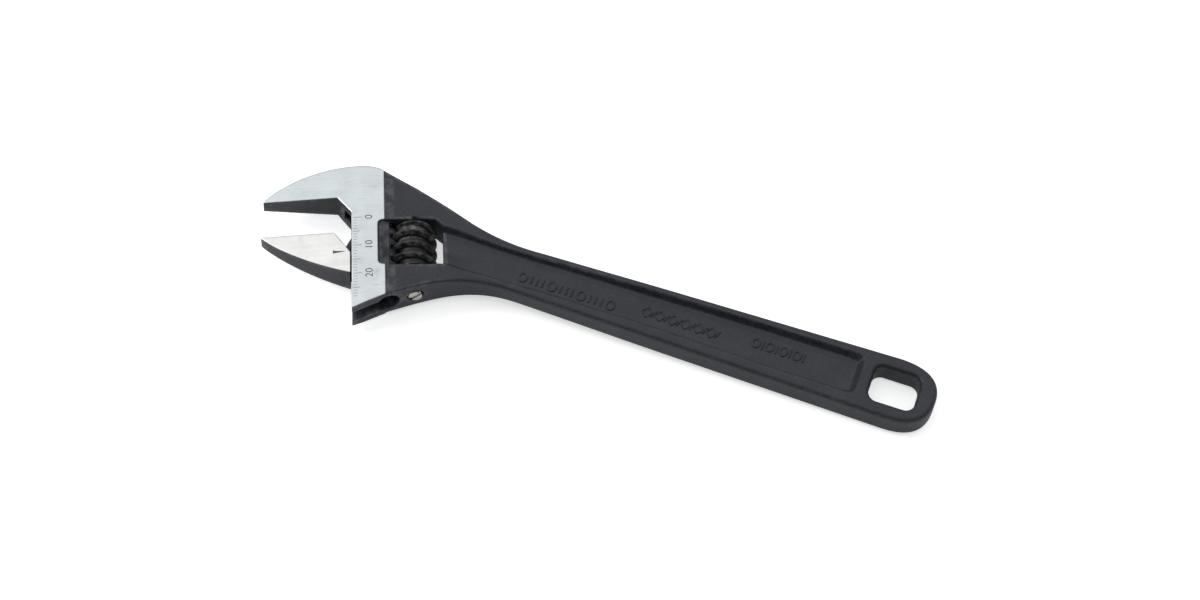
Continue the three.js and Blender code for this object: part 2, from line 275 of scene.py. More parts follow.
def head_top(x):
    """Half the thickness over the ground faces, which grow thinner towards the jaw's tip."""
    return HEAD_HALF_THICKNESS - TAPER_SLOPE * np.maximum(TAPER_START_X - x, 0)


def jaw_top(x):
    """Half the movable jaw's thickness over its bare faces."""
    return JAW_ROOT_HALF_THICKNESS + JAW_SLOPE * x


def rim_half_thickness(along):
    """The handle over its rims: as thick as the shoulder at the head, and thinnest at the waist."""
    down_to_waist = (SHOULDER_HALF_THICKNESS - WAIST_HALF_THICKNESS) * ramp(along, 22, 58)
    up_to_end = (HANDLE_HALF_THICKNESS - WAIST_HALF_THICKNESS) * ramp(along, 56, 104)
    return SHOULDER_HALF_THICKNESS - down_to_waist + up_to_end


def web_half_thickness(along, across):
    """The web between the rims, which rises towards the head, most at its lower side."""
    rise_at_lower_side = (1 - ramp(along, 33, 46)) * (1 - ramp(across, -8, -2))
    return WEB_HALF_THICKNESS + 1.05 * (1 - ramp(along, 34, 60)) + 1.4 * rise_at_lower_side


def relief_floor(x):
    """The thumb relief's floor, which slopes down towards the worm."""
    return RELIEF_FLOOR + 0.5 - 0.9 * ramp(x, RELIEF_LEFT, WINDOW["left"])


def thumb_relief_painted_shade(x, y, z):
    """1 on the thumb relief's floor: painted shade, which darkens the floor as if it lay in shadow."""
    right = WINDOW["left"] + 0.8
    relief = rectangle(x, y, RELIEF_LEFT, WINDOW["bottom"], right, WINDOW["top"], RELIEF_CORNER)
    below_shoulder = SHOULDER_HALF_THICKNESS - 0.2 - np.abs(z)
    return ramp(-relief, 0, 0.3) * ramp(below_shoulder, 0, 0.2)


def forging_field(x, y, z):
    along, across = to_handle(x, y)
    height = np.abs(z)

    # ground head, one step thicker than the shoulder, which runs down into the handle
    shoulder_top = rim_half_thickness(along)
    ground = meet(height - head_top(x), x - GROUND_EDGE_X, 0.12)
    top = np.minimum(ground, height - np.minimum(shoulder_top, head_top(x)))
    edge_radius = 0.28 + 0.35 * ramp(x, 9.5, 11) + 0.95 * ramp(along, 24, 52)
    body = meet(FORGING.distance(along, across), top, edge_radius)

    # hollow between the rims, with drafted walls
    draft = 0.5 + 0.35 * ramp(along, 155, 159)
    wall = (RECESS.distance(along, across) + (shoulder_top - height) * draft) * 0.9
    pocket = meet(wall, web_half_thickness(along, across) - height, 0.5)
    body = cut(body, pocket, 0.35)

    # thumb relief and the worm's window
    relief_right, relief_bottom = WINDOW["right"] - 2, WINDOW["bottom"] - 0.2
    relief = rectangle(x, y, RELIEF_LEFT, relief_bottom, relief_right, WINDOW["top"], RELIEF_CORNER)
    body = cut(body, meet(relief, relief_floor(x) - height, 0.5), 0.3)
    body = cut(body, window_field(x, y), 0.35)

    # keyhole for the jaw's rail, the pin's hole with its seat, and the hanging hole
    bore = meet(np.hypot(x - RAIL_X, z) - RAIL_RADIUS - GAP, y - KEYHOLE_ROOF_Y, 0)
    slot = np.maximum(KEYHOLE_SLOT.distance(x, y), height - NECK_HALF_THICKNESS - GAP)
    body = cut(body, np.minimum(bore, slot), 0.22)
    from_pin = np.hypot(x - WORM_X, z)
    pin_hole = np.maximum(from_pin - PIN_RADIUS - GAP, y - PIN_TIP_Y - GAP)
    seat = np.maximum(from_pin - PIN_HEAD_RADIUS - GAP, y - PIN_HEAD_Y - PIN_HEAD_HEIGHT - GAP)
    body = cut(body, np.minimum(pin_hole, seat), 0.2)
    hole = rectangle(along, across, HOLE["left"], HOLE["bottom"], HOLE["right"], HOLE["top"], HOLE["corner"])
    return cut(body, hole, HOLE_RIM_RADIUS)


def jaw_field(x, y, z):
    height = np.abs(z)
    jaw = meet(JAW.distance(x, y), height - jaw_top(x), 0.25)
    neck = meet(NECK.distance(x, y), height - NECK_HALF_THICKNESS, 0.2)
    ends = np.abs(y - (RAIL_TOP_Y + RAIL_BOTTOM_Y) / 2) - (RAIL_TOP_Y - RAIL_BOTTOM_Y) / 2
    rail = meet(np.hypot(x - RAIL_X, z) - RAIL_RADIUS, ends, 0.3)
    body = np.minimum(join(jaw, neck, 0.4), rail)
    # rack: straight grooves set at the thread's lead angle
    lead = math.atan(PITCH / (math.pi * (WORM_RADIUS + WORM_ROOT_RADIUS)))
    along = y * math.cos(lead) + z * math.sin(lead) - WORM_Y
    from_groove = np.abs((along + PITCH / 2) % PITCH - PITCH / 2)
    root_x, root_half_width, flank = WORM_X - WORM_RADIUS - GAP, 0.8, 0.25
    groove = meet(from_groove - root_half_width - flank * (x - root_x), root_x - x, 0.3)
    beyond_rack = np.maximum(np.abs(y - RACK_MIDDLE_Y) - RACK_HALF_LENGTH, 0)
    return cut(body, np.maximum(groove, beyond_rack), 0.15)


def worm_field(x, y, z):
    x, y = x - WORM_X, y - WORM_Y
    radius = np.hypot(x, z)
    angle = np.arctan2(z, -x)
    end = WORM_HALF_LENGTH
    crest = WORM_RADIUS - KNURL_DEPTH * (0.5 - 0.5 * np.cos(KNURL_COUNT * angle)) ** 2
    phase = (y + PITCH * angle / (2 * math.pi) + PITCH / 2) % PITCH - PITCH / 2
    half_width = 0.26 + 0.36 * (WORM_RADIUS - radius)
    ridge = meet((np.abs(phase) - half_width) * 0.96, radius - crest, 0.2)
    body = join(ridge, radius - WORM_ROOT_RADIUS, 0.35)
    chamfer = (radius + np.abs(y) - WORM_RADIUS - end + WORM_END_CHAMFER) / math.sqrt(2)
    body = meet(meet(body, chamfer, 0.25), np.abs(y) - end, 0.25)
    body = cut(body, radius - PIN_RADIUS - GAP, 0.15)
    seat = np.maximum(radius - SPRING_SEAT_RADIUS, end - SPRING_SEAT_DEPTH - y)
    return cut(body, seat, 0.15)


def pin_field(x, y, z):
    x = x - WORM_X
    radius = np.hypot(x, z)
    angle = np.arctan2(z, x)
    head_top_y = PIN_HEAD_Y + PIN_HEAD_HEIGHT
    screwed = ramp(y, head_top_y, head_top_y + 0.5) * (1 - ramp(y, SCREWED_END_Y - 0.6, SCREWED_END_Y))
    turns = y / PIN_THREAD_PITCH
    thread = PIN_THREAD_DEPTH * (0.5 + 0.5 * np.cos(2 * math.pi * turns + angle)) * screwed
    shank = meet(radius - PIN_RADIUS + thread, np.maximum(y - PIN_TIP_Y, PIN_HEAD_Y + 0.6 - y), 0.3)
    dome = PIN_HEAD_Y + 0.12 * (radius / PIN_HEAD_RADIUS) ** 2 - y
    head = meet(radius - PIN_HEAD_RADIUS, np.maximum(dome, y - head_top_y), 0.3)
    body = join(head, shank, 0.2)
    slot = meet(np.abs(x - z) / math.sqrt(2) - 0.42, y - PIN_HEAD_Y - 0.8, 0.1)
    return cut(body, slot, 0.12)


# ---- skinning ----------------------------------------------------------------------------------

FINENESS = 1.0


def stations(*stretches):
    """Lattice places along one axis: (start, stop, step) for each stretch, end to end."""
    places = []
    for start, stop, step in stretches:
        count = max(1, round((stop - start) / (step * FINENESS)))
        places += [start + (stop - start) * i / count for i in range(count)]
    return np.array(places + [stretches[-1][1]])


def straight_lattice(x, y, z):
    return x[:, None, None], y[None, :, None], z[None, None, :]


def bent_lattice(u, v, z):
    """A lattice that lies square to the head and, past a bend, square to the handle."""
    start, radius = 28.0, 65.0
    middle_y = radius * (1 - 1 / COS) - start * math.tan(HEAD_ANGLE)
    u, v = u[:, None, None], v[None, :, None]
    turned = np.clip((u - start) / radius, 0, HEAD_ANGLE)
    before = np.minimum(u - start, 0)
    after = np.maximum(u - start - radius * HEAD_ANGLE, 0)
    x = start + before + (radius + v) * np.sin(turned) + after * COS
    y = middle_y - radius + (radius + v) * np.cos(turned) - after * SIN
    return x, y, z[None, None, :]


def skin(field, lattice):
    """Quads over the zero level of a field: one point in each lattice cell that the level passes through,
    and one quad across each lattice edge that it crosses."""
    values = field(*lattice)
    spots = np.stack(np.broadcast_arrays(*lattice), axis=-1)
    inside = values < 0
    strides = np.array([values.shape[1] * values.shape[2], values.shape[2], 1])
    cells, crossings, quads = [], [], []
    for axis in range(3):
        low = [slice(None)] * 3
        high = [slice(None)] * 3
        low[axis], high[axis] = slice(None, -1), slice(1, None)
        edges = np.argwhere(inside[tuple(low)] != inside[tuple(high)])
        a = tuple(edges.T)
        b = tuple((edges + np.eye(3, dtype=int)[axis]).T)
        t = (values[a] / (values[a] - values[b]))[:, None]
        crossing = spots[a] + t * (spots[b] - spots[a])
        second, third = np.eye(3, dtype=int)[(axis + 1) % 3], np.eye(3, dtype=int)[(axis + 2) % 3]
        around = [edges, edges - second, edges - second - third, edges - third]
        ids = np.stack([corner @ strides for corner in around], axis=1)
        flip = ~inside[a]
        ids[flip] = ids[flip][:, ::-1]
        quads.append(ids)
        cells.append(ids.ravel())
        crossings.append(np.repeat(crossing, 4, axis=0))
    cells, crossings, quads = np.concatenate(cells), np.concatenate(crossings), np.concatenate(quads)
    used, index = np.unique(cells, return_inverse=True)
    counts = np.bincount(index)
    points = np.stack([np.bincount(index, crossings[:, k]) / counts for k in range(3)], axis=1)
    return points, np.searchsorted(used, quads)


def probe(field, points):
    """The field's value and slope at each point."""
    step = 0.04
    x, y, z = (points[:, k : k + 1] for k in range(3))
    offsets = np.array([[0, 0], [step, 0], [-step, 0], [0, step], [0, -step]])
    level = field(x + offsets[:, 0], y + offsets[:, 1], z)
    raised = field(x, y, z + np.array([step, -step]))
    slope = np.stack(
        [level[:, 1] - level[:, 2], level[:, 3] - level[:, 4], raised[:, 0] - raised[:, 1]], axis=1
    )
    return level[:, 0], slope / (2 * step)


def skinned_piece(name, field, lattice, painted_shade=None):
    """A mesh object over a field, with its sharp edges marked for wear and painted highlight, and its hollows
    for dust and painted shade.
    """
    points, quads = skin(field, lattice)
    for _ in range(2):
        value, slope = probe(field, points)
        steepness = np.maximum((slope**2).sum(axis=1), 0.25)
        points -= slope * np.clip(value / steepness, -0.2, 0.2)[:, None]
    _, slope = probe(field, points)
    normals = slope / np.maximum(np.linalg.norm(slope, axis=1), 1e-6)[:, None]
    edge_reach, hollow_reach = 1.4, 1.0
    under = points - edge_reach * normals
    over = points + hollow_reach * normals
    # edge: how sharp each point's convex edge is; the coat lightens with it, partly as wear and partly as
    # painted highlight
    edge = np.clip(1 + field(*under.T) / edge_reach, 0, 1)
    # hollow: how enclosed each point is; the coat darkens with it, partly as dust and partly as painted shade
    hollow = np.clip(1 - field(*over.T) / hollow_reach, 0, 1)
    # the extra mask is painted shade, laid over the hollows' darkening
    if painted_shade:
        hollow = np.maximum(hollow, painted_shade(*points.T))
    mesh = bpy.data.meshes.new(name)
    mesh.from_pydata(place(points).tolist(), [], quads.tolist())
    mesh.validate()
    mesh.polygons.foreach_set("use_smooth", np.ones(len(mesh.polygons), bool))
    for label, amounts in (("edge", edge), ("hollow", hollow)):
        mesh.attributes.new(label, "FLOAT", "POINT").data.foreach_set("value", amounts)
    mesh.update()
    piece = bpy.data.objects.new(name, mesh)
    bpy.context.scene.collection.objects.link(piece)
    print(name, len(mesh.vertices), "points")
    return piece


def forging_lattice():
    u = stations(
        (-27.4, 8.9, 0.36), (8.9, 11.9, 0.2), (11.9, 30, 0.36),
        (30, 54, 0.5), (54, 156, 1.0), (156, 189.5, 0.42),
    )
    v = stations((-20.4, -11.4, 0.36), (-11.4, 11.4, 0.36), (11.4, 33.4, 0.36))
    z = stations((-6.0, -4.8, 0.2), (-4.8, 4.8, 0.3), (4.8, 6.0, 0.2))
    return bent_lattice(u, v, z)


def jaw_lattice():
    return straight_lattice(
        stations((-27.6, 14.4, 0.3)), stations((-23.4, -2.4, 0.3)), stations((-5.4, 5.4, 0.27))
    )


def worm_lattice():
    reach, end = WORM_RADIUS + 0.5, WORM_HALF_LENGTH + 0.5
    across = stations((-reach, reach, 0.21))
    return straight_lattice(across + WORM_X, stations((-end, end, 0.2)) + WORM_Y, across)


def pin_lattice():
    reach = PIN_HEAD_RADIUS + 0.3
    across = stations((-reach, reach, 0.15))
    return straight_lattice(across + WORM_X, stations((PIN_HEAD_Y - 0.4, PIN_TIP_Y + 0.4, 0.15)), across)


# ---- small pieces made from curves and thin plates ----------------------------------------------


def stroke_piece(name, strokes, radius):
    """Round strokes, each a list of points in head coordinates."""
    curve = bpy.data.curves.new(name, "CURVE")
    curve.dimensions = "3D"
    curve.bevel_depth = radius * MM
    curve.bevel_resolution = 3
    curve.use_fill_caps = True
    for stroke in strokes:
        spline = curve.splines.new("POLY")
        spline.points.add(len(stroke) - 1)
        for point, spot in zip(spline.points, place(stroke)):
            point.co = (*spot, 1)
    piece = bpy.data.objects.new(name, curve)
    bpy.context.scene.collection.objects.link(piece)
    return piece


def spring_strokes():
    low = WORM_Y + WORM_HALF_LENGTH - SPRING_SEAT_DEPTH + GAP + WIRE_RADIUS
    high = WINDOW["top"] - GAP - WIRE_RADIUS
    t = np.linspace(0, 1, SPRING_TURNS * 24 + 1)
    angle = 2 * math.pi * SPRING_TURNS * t
    x = WORM_X + SPRING_RADIUS * np.cos(angle)
    z = SPRING_RADIUS * np.sin(angle)
    return [np.stack([x, low + (high - low) * t, z], axis=1)]


def engraving(name, plates, face):
    """Thin dark plates let into a face: each is a list of corners, and face gives the height at x."""
    proud, depth = 0.012, 0.05
    corners, faces = [], []
    for plate in plates:
        start, count = len(corners), len(plate)
        corners += [(x, y, face(x) + proud) for x, y in plate]
        corners += [(x, y, face(x) - depth) for x, y in plate]
        faces.append(list(range(start, start + count)))
        faces.append(list(range(start + 2 * count - 1, start + count - 1, -1)))
        for i in range(count):
            j = (i + 1) % count
            faces.append([start + j, start + i, start + count + i, start + count + j])
    mesh = bpy.data.meshes.new(name)
    mesh.from_pydata(place(corners).tolist(), [], faces)
    mesh.validate()
    piece = bpy.data.objects.new(name, mesh)
    bpy.context.scene.collection.objects.link(piece)
    return piece


def raised_marks():
    """Plain geometric figures standing a little proud of the web: rings, bars and a lozenge chain."""

    def figure(along, across, spots):
        figure_height = web_half_thickness(np.array(along), np.array(across)) + 0.03
        return [(*to_head(along + x, across + y), figure_height) for x, y in spots]

    def ring(along, across, half_length, half_width, count=20):
        turns = 2 * math.pi * np.arange(count + 1) / count
        return figure(along, across, [(half_length * math.cos(t), half_width * math.sin(t)) for t in turns])

    def bar(along, across, lean, half_width):
        return figure(along, across, [(-lean, -half_width), (lean, half_width)])

    strokes = []
    across = -2.6
    for along in (56.0, 65.2, 74.4):
        strokes.append(ring(along, across, 1.2, 1.6))
        for beyond in (2.7, 4.5, 6.3):
            strokes.append(bar(along + beyond, across, 0.0, 1.3))
    strokes.append(ring(83.6, across, 1.2, 1.6))
    across = -0.9
    for step in range(6):
        along = 94.6 + 4.0 * step
        strokes.append(figure(along, across, [(-1.5, 0), (0, 1.8), (1.5, 0), (0, -1.8), (-1.5, 0)]))
        strokes.append(bar(along + 2.0, across, 0.5, 1.3))
    across = 0.4
    for along in (128.2, 132.4, 136.6, 140.8):
        strokes.append(ring(along, across, 1.1, 1.5))
        strokes.append(bar(along + 2.1, across, 0.0, 1.5))
    return strokes


SCALE_ZERO_Y = -3.44
SCALE_LENGTH = 28
SCALE_NUMBER_X = 5.3


def scale_ticks():
    """A fine tick for each millimetre, a longer one each 5, as narrow upright rectangles."""
    ticks = []
    for millimetre in range(SCALE_LENGTH + 1):
        length = 2.6 if millimetre % 10 == 0 else 2.0 if millimetre % 5 == 0 else 1.2
        half_width = 0.075 if millimetre % 5 == 0 else 0.05
        y = SCALE_ZERO_Y - millimetre
        left, right = 0.5, 0.5 + length
        low, high = y - half_width, y + half_width
        ticks.append([(left, low), (right, low), (right, high), (left, high)])
    return ticks


def pointer_wedge():
    """The wedge on the movable jaw that points at the scale."""
    y = SCALE_ZERO_Y - (FIXED_FACE_Y - MOVABLE_FACE_Y) + 0.75
    edge = [(-5.5, -0.62), (-4.6, -0.45), (-1.9, -0.07), (-1.9, 0.07), (-4.6, 0.3), (-5.5, 0.62)]
    return [[(x, y + beside) for x, beside in edge]]


def scale_number(text, y):
    """A number beside its tick, reading along the head."""
    curve = bpy.data.curves.new("scale_" + text, "FONT")
    curve.body = text
    curve.size = 3.2 * MM
    curve.extrude = 0.03 * MM
    curve.align_x = "CENTER"
    curve.align_y = "CENTER"
    piece = bpy.data.objects.new("scale_" + text, curve)
    bpy.context.scene.collection.objects.link(piece)
    spot = place([(SCALE_NUMBER_X, y, head_top(SCALE_NUMBER_X) - 0.018)])[0]
    reading, upright = Vector(HEAD_Y_AXIS), Vector(-HEAD_X_AXIS)
    turn = Matrix((reading, upright, Vector((0, 0, 1)))).transposed().to_4x4()
    piece.matrix_world = Matrix.Translation(spot) @ turn
    return piece


# ---- materials ---------------------------------------------------------------------------------


def group(name, inputs, outputs):
    tree = bpy.data.node_groups.new(name, "ShaderNodeTree")
    for label, kind, value in inputs:
        socket = tree.interface.new_socket(label, in_out="INPUT", socket_type=kind)
        if value is not None:
            socket.default_value = value
    for label, kind in outputs:
        tree.interface.new_socket(label, in_out="OUTPUT", socket_type=kind)
    return tree, tree.nodes.new("NodeGroupInput"), tree.nodes.new("NodeGroupOutput")


def math_node(tree, operation, a, b=None, clamp=False):
    node = tree.nodes.new("ShaderNodeMath")
    node.operation = operation
    node.use_clamp = clamp
    for socket, value in zip(node.inputs, (a, b)):
        if value is None:
            continue
        if isinstance(value, bpy.types.NodeSocket):
            tree.links.new(value, socket)
        else:
            socket.default_value = value
    return node.outputs[0]


def range_node(tree, value, low, high, to_low=0.0, to_high=1.0):
    node = tree.nodes.new("ShaderNodeMapRange")
    node.interpolation_type = "SMOOTHSTEP"
    tree.links.new(value, node.inputs["Value"])
    for label, number in (("From Min", low), ("From Max", high), ("To Min", to_low), ("To Max", to_high)):
        if isinstance(number, bpy.types.NodeSocket):
            tree.links.new(number, node.inputs[label])
        else:
            node.inputs[label].default_value = number
    return node.outputs["Result"]


def mix_node(tree, share, a, b):
    node = tree.nodes.new("ShaderNodeMix")
    node.data_type = "RGBA"
    for label, value in (("Factor", share), ("A", a), ("B", b)):
        socket = next(s for s in node.inputs if s.name == label and (label == "Factor" or s.type == "RGBA"))
        if isinstance(value, bpy.types.NodeSocket):
            tree.links.new(value, socket)
        elif label == "Factor":
            socket.default_value = value
        else:
            socket.default_value = (*value, 1)
    return next(s for s in node.outputs if s.type == "RGBA")


def noise_node(tree, vector, scale, detail=3.0, roughness=0.5):
    node = tree.nodes.new("ShaderNodeTexNoise")
    tree.links.new(vector, node.inputs["Vector"])
    node.inputs["Scale"].default_value = scale
    node.inputs["Detail"].default_value = detail
    node.inputs["Roughness"].default_value = roughness
    return node.outputs["Fac"]


def stretched(tree, scale):
    """Object coordinates in head axes, stretched: fine lines run along the axis with the small number."""
    coordinates = tree.nodes.new("ShaderNodeTexCoord")
    mapping = tree.nodes.new("ShaderNodeMapping")
    mapping.inputs["Rotation"].default_value = (0, 0, -HEAD_ANGLE)
    second = tree.nodes.new("ShaderNodeMapping")
    second.inputs["Scale"].default_value = scale
    tree.links.new(coordinates.outputs["Object"], mapping.inputs["Vector"])
    tree.links.new(mapping.outputs["Vector"], second.inputs["Vector"])
    return second.outputs["Vector"]


def attribute_value(tree, name):
    node = tree.nodes.new("ShaderNodeAttribute")
    node.attribute_name = name
    return node.outputs["Fac"]


def ground_mask_group():
    """1 on the flat ground side faces: above Height less Slope times the distance towards the tip."""
    inputs = [("Height", "NodeSocketFloat", 5.6), ("Slope", "NodeSocketFloat", 0.094),
              ("Taper start", "NodeSocketFloat", 3.7), ("Rear edge", "NodeSocketFloat", 9.95)]
    tree, given, result = group("ground_face", inputs, [("Mask", "NodeSocketFloat")])
    coordinates = tree.nodes.new("ShaderNodeTexCoord")
    from_origin = tree.nodes.new("ShaderNodeVectorMath")
    from_origin.operation = "SUBTRACT"
    from_origin.inputs[1].default_value = HEAD_ORIGIN
    tree.links.new(coordinates.outputs["Object"], from_origin.inputs[0])
    x_part = tree.nodes.new("ShaderNodeVectorMath")
    x_part.operation = "DOT_PRODUCT"
    x_part.inputs[1].default_value = HEAD_X_AXIS / MM
    tree.links.new(from_origin.outputs[0], x_part.inputs[0])
    z_part = tree.nodes.new("ShaderNodeVectorMath")
    z_part.operation = "DOT_PRODUCT"
    z_part.inputs[1].default_value = (0, 0, 1 / MM)
    tree.links.new(from_origin.outputs[0], z_part.inputs[0])
    x = x_part.outputs["Value"]
    height = math_node(tree, "ABSOLUTE", z_part.outputs["Value"])
    before_taper = math_node(tree, "SUBTRACT", given.outputs["Taper start"], x)
    drop = math_node(tree, "MULTIPLY", math_node(tree, "MAXIMUM", before_taper, 0.0), given.outputs["Slope"])
    level = math_node(tree, "SUBTRACT", given.outputs["Height"], drop)
    above = math_node(tree, "SUBTRACT", height, level)
    flat = range_node(tree, above, -0.17, -0.1)
    behind = math_node(tree, "SUBTRACT", x, given.outputs["Rear edge"])
    in_front = range_node(tree, behind, -0.02, 0.04, 1.0, 0.0)
    tree.links.new(math_node(tree, "MULTIPLY", flat, in_front), result.inputs["Mask"])
    return tree


def black_coat_group():
    """Phosphate or oxide coat on forged steel: grain, patches, brighter edges and darker hollows. The
    brighter edges are partly wear and partly painted highlight; the darker hollows are partly dust and partly
    painted shade.
    """
    inputs = [
        ("Coat", "NodeSocketColor", (0.03, 0.032, 0.036, 1)),
        ("Rubbed", "NodeSocketColor", (0.16, 0.16, 0.165, 1)),
        # Edge wear sets the strength of the edge lightening, which is wear and painted highlight
        ("Edge wear", "NodeSocketFloat", 0.6), ("Grain scale", "NodeSocketFloat", 1.0),
        ("Wear from", "NodeSocketFloat", 0.06), ("Wear full", "NodeSocketFloat", 0.4),
    ]
    outputs = [("Color", "NodeSocketColor"), ("Roughness", "NodeSocketFloat"), ("Height", "NodeSocketFloat")]
    tree, given, result = group("black_coat", inputs, outputs)
    coordinates = tree.nodes.new("ShaderNodeTexCoord")
    sized = tree.nodes.new("ShaderNodeVectorMath")
    sized.operation = "SCALE"
    tree.links.new(coordinates.outputs["Object"], sized.inputs[0])
    tree.links.new(given.outputs["Grain scale"], sized.inputs["Scale"])
    grain = noise_node(tree, sized.outputs[0], 2600, 2.0, 0.6)
    pits = noise_node(tree, sized.outputs[0], 1250, 3.0, 0.65)
    patches = noise_node(tree, sized.outputs[0], 110, 3.0)
    wear_and_highlight_from, wear_and_highlight_full = given.outputs["Wear from"], given.outputs["Wear full"]
    # painted highlight, partly wear: sharp edges are mixed towards the lighter edge colour
    edge = range_node(tree, attribute_value(tree, "edge"), wear_and_highlight_from, wear_and_highlight_full)
    broken = range_node(tree, noise_node(tree, sized.outputs[0], 420, 3.0), 0.35, 0.7)
    wear = math_node(tree, "MULTIPLY", math_node(tree, "MULTIPLY", edge, broken), given.outputs["Edge wear"])
    # painted shade, partly dust: the coat grows darker in hollows, down to 35 percent
    hollow = range_node(tree, attribute_value(tree, "hollow"), 0.08, 0.55, 1.0, 0.35)
    tone = math_node(tree, "MULTIPLY", range_node(tree, patches, 0.3, 0.7, 0.86, 1.16),
                     range_node(tree, pits, 0.3, 0.7, 0.6, 1.42))
    tone = math_node(tree, "MULTIPLY", tone, range_node(tree, grain, 0.3, 0.7, 0.8, 1.22))
    tone = math_node(tree, "MULTIPLY", tone, hollow)
    toned = tree.nodes.new("ShaderNodeVectorMath")
    toned.operation = "SCALE"
    tree.links.new(given.outputs["Coat"], toned.inputs[0])
    tree.links.new(tone, toned.inputs["Scale"])
    tree.links.new(mix_node(tree, wear, toned.outputs[0], given.outputs["Rubbed"]), result.inputs["Color"])
    rough = range_node(tree, pits, 0.3, 0.7, 0.38, 0.58)
    smoothed = math_node(tree, "SUBTRACT", rough, math_node(tree, "MULTIPLY", wear, 0.12))
    tree.links.new(smoothed, result.inputs["Roughness"])
    height = math_node(tree, "ADD", math_node(tree, "MULTIPLY", grain, 0.35), pits)
    tree.links.new(height, result.inputs["Height"])
    return tree


HANDLED_SPOT = (4.6, -25.5, HEAD_HALF_THICKNESS)


def ground_steel_group():
    """Bare surface-ground steel: close parallel lines, faint clouding and a few handling smudges."""
    inputs = [("Steel", "NodeSocketColor", (0.62, 0.63, 0.64, 1)), ("Smudge", "NodeSocketFloat", 0.3)]
    outputs = [("Color", "NodeSocketColor"), ("Roughness", "NodeSocketFloat"), ("Height", "NodeSocketFloat")]
    tree, given, result = group("ground_steel", inputs, outputs)
    lines = noise_node(tree, stretched(tree, (60, 5200, 60)), 1.0, 2.0, 0.6)
    cloud = noise_node(tree, stretched(tree, (1, 1, 1)), 160, 4.0, 0.6)
    smudge = range_node(tree, noise_node(tree, stretched(tree, (1, 1, 1)), 230, 5.0, 0.7), 0.5, 0.72)
    handled = tree.nodes.new("ShaderNodeVectorMath")
    handled.operation = "DISTANCE"
    handled.inputs[1].default_value = place([HANDLED_SPOT])[0]
    coordinates = tree.nodes.new("ShaderNodeTexCoord")
    tree.links.new(coordinates.outputs["Object"], handled.inputs[0])
    near = range_node(tree, handled.outputs["Value"], 1.5 * MM, 7.0 * MM, 3.2, 1.0)
    smudge = math_node(tree, "MULTIPLY", smudge, near)
    smudge = math_node(tree, "MULTIPLY", smudge, given.outputs["Smudge"], clamp=True)
    tone = math_node(tree, "MULTIPLY", range_node(tree, lines, 0.3, 0.7, 0.95, 1.04),
                     range_node(tree, cloud, 0.3, 0.7, 0.95, 1.05))
    toned = tree.nodes.new("ShaderNodeVectorMath")
    toned.operation = "SCALE"
    tree.links.new(given.outputs["Steel"], toned.inputs[0])
    tree.links.new(tone, toned.inputs["Scale"])
    tree.links.new(mix_node(tree, smudge, toned.outputs[0], (0.3, 0.3, 0.31)), result.inputs["Color"])
    tree.links.new(range_node(tree, cloud, 0.3, 0.7, 0.3, 0.42), result.inputs["Roughness"])
    tree.links.new(lines, result.inputs["Height"])
    return tree


def new_material(name, **numbers):
    material = bpy.data.materials.new(name)
    material.use_nodes = True
    shader = material.node_tree.nodes["Principled BSDF"]
    for label, value in numbers.items():
        shader.inputs[label.replace("_", " ")].default_value = value
    return material, material.node_tree, shader


def place_group(tree, node_group, **values):
    node = tree.nodes.new("ShaderNodeGroup")
    node.node_tree = node_group
    for label, value in values.items():
        node.inputs[label.replace("_", " ")].default_value = value
    return node


def bump(tree, shader, height, distance, strength=1.0):
    node = tree.nodes.new("ShaderNodeBump")
    node.inputs["Distance"].default_value = distance * MM
    node.inputs["Strength"].default_value = strength
    tree.links.new(height, node.inputs["Height"])
    tree.links.new(node.outputs["Normal"], shader.inputs["Normal"])


def black_steel(name, coat, rubbed_and_highlight, wear, grain_scale=1.0, wear_and_highlight_from=0.06, wear_and_highlight_full=0.4):
    material, tree, shader = new_material(name, Metallic=0.0, Specular_IOR_Level=0.5)
    skin_coat = place_group(tree, BLACK_COAT, Coat=(*coat, 1), Rubbed=(*rubbed_and_highlight, 1), Edge_wear=wear,
                            Grain_scale=grain_scale, Wear_from=wear_and_highlight_from, Wear_full=wear_and_highlight_full)
    tree.links.new(skin_coat.outputs["Color"], shader.inputs["Base Color"])
    tree.links.new(skin_coat.outputs["Roughness"], shader.inputs["Roughness"])
    bump(tree, shader, skin_coat.outputs["Height"], 0.05)
    return material


def two_tone_steel(name, coat, rubbed_and_highlight, steel, smudge, **face):
    """Black coat, with the side faces ground bare."""
    material, tree, shader = new_material(name, Specular_IOR_Level=0.5)
    mask = place_group(tree, GROUND_MASK, **face).outputs["Mask"]
    black = place_group(tree, BLACK_COAT, Coat=(*coat, 1), Rubbed=(*rubbed_and_highlight, 1), Edge_wear=0.55)
    bare = place_group(tree, GROUND_STEEL, Steel=(*steel, 1), Smudge=smudge)
    color = mix_node(tree, mask, black.outputs["Color"], bare.outputs["Color"])
    tree.links.new(color, shader.inputs["Base Color"])
    step = math_node(tree, "SUBTRACT", bare.outputs["Roughness"], black.outputs["Roughness"])
    roughness = math_node(tree, "ADD", black.outputs["Roughness"], math_node(tree, "MULTIPLY", step, mask))
    tree.links.new(roughness, shader.inputs["Roughness"])
    tree.links.new(math_node(tree, "MULTIPLY", mask, 0.9), shader.inputs["Metallic"])
    coated = math_node(tree, "SUBTRACT", 1.0, mask)
    rough_height = math_node(tree, "MULTIPLY", black.outputs["Height"], coated)
    fine_height = math_node(tree, "MULTIPLY", bare.outputs["Height"], math_node(tree, "MULTIPLY", mask, 0.07))
    bump(tree, shader, math_node(tree, "ADD", rough_height, fine_height), 0.05)
    return material


